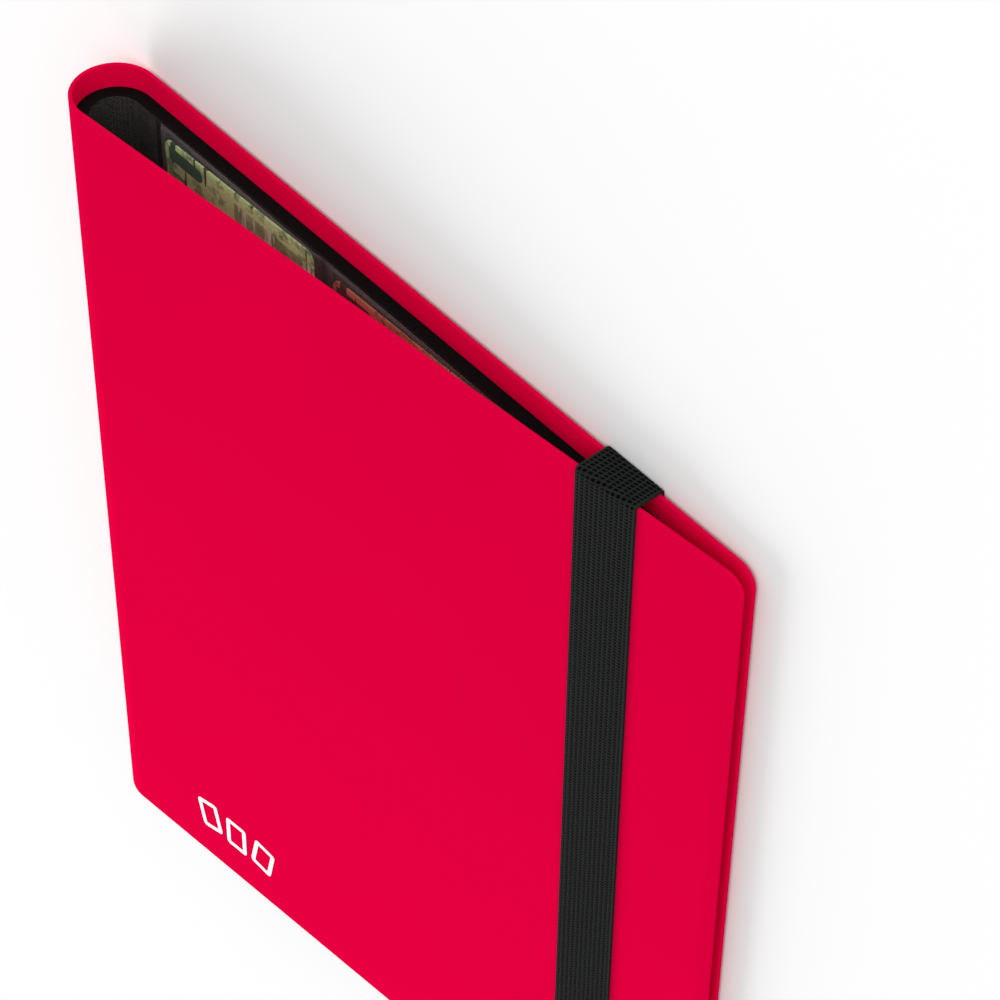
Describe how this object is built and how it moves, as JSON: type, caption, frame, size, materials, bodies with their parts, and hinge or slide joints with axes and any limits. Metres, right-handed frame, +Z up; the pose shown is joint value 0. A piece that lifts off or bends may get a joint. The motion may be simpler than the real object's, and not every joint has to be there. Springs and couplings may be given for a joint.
{
  "type": "trading card binder",
  "caption": "Slim card binder: one bent plastic sheet as covers and rounded spine, pocket leaves bound along the spine, and an elastic strap round the fore-edge side.",
  "frame": {"origin": "centre of the bounding box at the bottom, with the binder lying on its back cover", "axes": "+X from the spine to the fore-edge, +Y to the top edge, +Z up through the front cover"},
  "size_m": [0.2584, 0.3026, 0.0269],
  "materials": {
    "red_sheet": "matte polypropylene sheet",
    "black_sheet": "black embossed sheet",
    "clear_film": "clear glossy film",
    "card": "printed card in a sleeve",
    "elastic": "woven black elastic"
  },
  "bodies": {
    "back_cover": {"back_cover": "red_sheet", "spine_back": "red_sheet", "bind_back": "black_sheet", "bind_curve_back": "black_sheet", "strap_tail_top": "elastic", "strap_tail_bottom": "elastic"},
    "spine": {"spine_mid_back": "red_sheet", "spine_mid_front": "red_sheet", "bind_mid_back": "black_sheet", "bind_mid_front": "black_sheet"},
    "front_cover": {"front_cover": "red_sheet", "spine_front": "red_sheet", "bind_curve_front": "black_sheet", "bind_front": "black_sheet"},
    "leaf_01": {"leaf_01": "black_sheet", "film_01": "clear_film", "card_1": "card", "card_2": "card"},
    "leaf_02": {"leaf_02": "black_sheet", "film_02": "clear_film"},
    "leaf_03": {"leaf_03": "black_sheet", "film_03": "clear_film"},
    "leaf_04": {"leaf_04": "black_sheet", "film_04": "clear_film"},
    "leaf_05": {"leaf_05": "black_sheet", "film_05": "clear_film"},
    "leaf_06": {"leaf_06": "black_sheet", "film_06": "clear_film"},
    "leaf_07": {"leaf_07": "black_sheet", "film_07": "clear_film"},
    "leaf_08": {"leaf_08": "black_sheet", "film_08": "clear_film"},
    "leaf_09": {"leaf_09": "black_sheet", "film_09": "clear_film"},
    "leaf_10": {"leaf_10": "black_sheet", "film_10": "clear_film"},
    "strap": {"strap_band": "elastic"}
  },
  "joints": [
    {"name": "spine_bend_back", "type": "hinge", "parent": "back_cover", "child": "spine", "pos_m": [-0.12673, 0, 0.00394], "axis": [0, -1, 0], "range_deg": [0, 92.41]},
    {"name": "spine_bend_front", "type": "hinge", "parent": "spine", "child": "front_cover", "pos_m": [-0.12585, 0, 0.02481], "axis": [0, -1, 0], "range_deg": [0, 92.41]},
    {"name": "leaf_01_turn", "type": "hinge", "parent": "back_cover", "child": "leaf_01", "pos_m": [-0.11629, 0, 0.00425], "axis": [0, -1, 0], "range_deg": [0, 135]},
    {"name": "leaf_02_turn", "type": "hinge", "parent": "back_cover", "child": "leaf_02", "pos_m": [-0.11629, 0, 0.00425], "axis": [0, -1, 0], "range_deg": [0, 121.5]},
    {"name": "leaf_03_turn", "type": "hinge", "parent": "back_cover", "child": "leaf_03", "pos_m": [-0.11629, 0, 0.00425], "axis": [0, -1, 0], "range_deg": [0, 108]},
    {"name": "leaf_04_turn", "type": "hinge", "parent": "back_cover", "child": "leaf_04", "pos_m": [-0.11629, 0, 0.00425], "axis": [0, -1, 0], "range_deg": [0, 94.5]},
    {"name": "leaf_05_turn", "type": "hinge", "parent": "back_cover", "child": "leaf_05", "pos_m": [-0.11629, 0, 0.00425], "axis": [0, -1, 0], "range_deg": [0, 81]},
    {"name": "leaf_06_turn", "type": "hinge", "parent": "back_cover", "child": "leaf_06", "pos_m": [-0.11629, 0, 0.00425], "axis": [0, -1, 0], "range_deg": [0, 67.5]},
    {"name": "leaf_07_turn", "type": "hinge", "parent": "back_cover", "child": "leaf_07", "pos_m": [-0.11629, 0, 0.00425], "axis": [0, -1, 0], "range_deg": [0, 54]},
    {"name": "leaf_08_turn", "type": "hinge", "parent": "back_cover", "child": "leaf_08", "pos_m": [-0.11629, 0, 0.00425], "axis": [0, -1, 0], "range_deg": [0, 40.5]},
    {"name": "leaf_09_turn", "type": "hinge", "parent": "back_cover", "child": "leaf_09", "pos_m": [-0.11629, 0, 0.00425], "axis": [0, -1, 0], "range_deg": [0, 27]},
    {"name": "leaf_10_turn", "type": "hinge", "parent": "back_cover", "child": "leaf_10", "pos_m": [-0.11629, 0, 0.00425], "axis": [0, -1, 0], "range_deg": [0, 13.5]},
    {"name": "strap_slip", "type": "slide", "parent": "back_cover", "child": "strap", "axis": [1, 0, 0], "range_m": [0, 0.06], "deforming": ["strap_band"]}
  ],
  "couplings": [
    {"joint": "spine_bend_back", "follows": "leaf_01_turn", "ratio": 0.68451},
    {"joint": "spine_bend_front", "follows": "leaf_01_turn", "ratio": 0.68451},
    {"joint": "leaf_02_turn", "follows": "leaf_01_turn", "ratio": 0.9},
    {"joint": "leaf_03_turn", "follows": "leaf_01_turn", "ratio": 0.8},
    {"joint": "leaf_04_turn", "follows": "leaf_01_turn", "ratio": 0.7},
    {"joint": "leaf_05_turn", "follows": "leaf_01_turn", "ratio": 0.6},
    {"joint": "leaf_06_turn", "follows": "leaf_01_turn", "ratio": 0.5},
    {"joint": "leaf_07_turn", "follows": "leaf_01_turn", "ratio": 0.4},
    {"joint": "leaf_08_turn", "follows": "leaf_01_turn", "ratio": 0.3},
    {"joint": "leaf_09_turn", "follows": "leaf_01_turn", "ratio": 0.2},
    {"joint": "leaf_10_turn", "follows": "leaf_01_turn", "ratio": 0.1}
  ]
}
